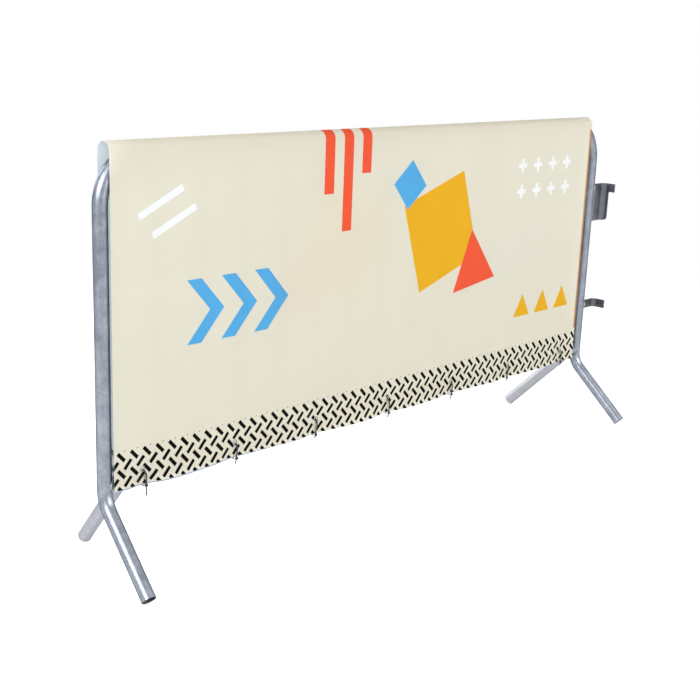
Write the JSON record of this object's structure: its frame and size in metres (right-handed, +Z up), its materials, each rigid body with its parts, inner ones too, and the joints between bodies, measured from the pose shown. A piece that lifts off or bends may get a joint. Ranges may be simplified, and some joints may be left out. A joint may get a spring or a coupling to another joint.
{
  "type": "crowd control barrier with cloth cover",
  "caption": "Free-standing steel crowd barrier: a bent tube frame on splayed feet, with upright bars, coupling hooks and a printed cloth cover tied on over its top rail.",
  "frame": {"origin": "on the ground, in the plane of the two posts, midway between their axes", "axes": "+X along the barrier towards the post with the coupling hooks, -Y to the front (the bent feet), +Z up"},
  "size_m": [2.2193, 0.4515, 1.1017],
  "materials": {
    "galvanised_tube": "hot-dip galvanised, satin with soft sheen and faint run marks",
    "galvanised_bar": "hot-dip galvanised, satin",
    "galvanised_foot": "hot-dip galvanised, duller and paler, scuffed near the ground",
    "hook_steel": "hot-dip galvanised plate, darker and duller",
    "weld_zinc": "rippled weld beads under zinc",
    "printed_cloth": null,
    "eyelet_metal": "rolled metal eyelets, satin",
    "tie_plastic": "black nylon, slightly satin"
  },
  "bodies": {
    "root": {"back_eyelets": "eyelet_metal", "bar_01": "galvanised_bar", "bar_02": "galvanised_bar", "bar_03": "galvanised_bar", "bar_04": "galvanised_bar", "bar_05": "galvanised_bar", "bar_06": "galvanised_bar", "bar_07": "galvanised_bar", "bar_08": "galvanised_bar", "bar_09": "galvanised_bar", "bar_10": "galvanised_bar", "bar_11": "galvanised_bar", "bar_12": "galvanised_bar", "bar_13": "galvanised_bar", "bar_14": "galvanised_bar", "bottom_rail": "galvanised_tube", "cable_tie_1": "tie_plastic", "cable_tie_2": "tie_plastic", "cable_tie_3": "tie_plastic", "cable_tie_4": "tie_plastic", "cable_tie_5": "tie_plastic", "cable_tie_6": "tie_plastic", "cable_tie_7": "tie_plastic", "cover": "printed_cloth", "frame_hoop": "galvanised_tube", "front_eyelets": "eyelet_metal", "lower_bar_welds": "weld_zinc", "lower_hook": "hook_steel", "lower_hook_weld": "weld_zinc", "rail_welds": "weld_zinc", "rear_foot_left": "galvanised_foot", "rear_foot_right": "galvanised_foot", "rear_foot_welds": "weld_zinc", "upper_bar_welds": "weld_zinc", "upper_hook": "hook_steel", "upper_hook_weld": "weld_zinc"}
  },
  "joints": []
}
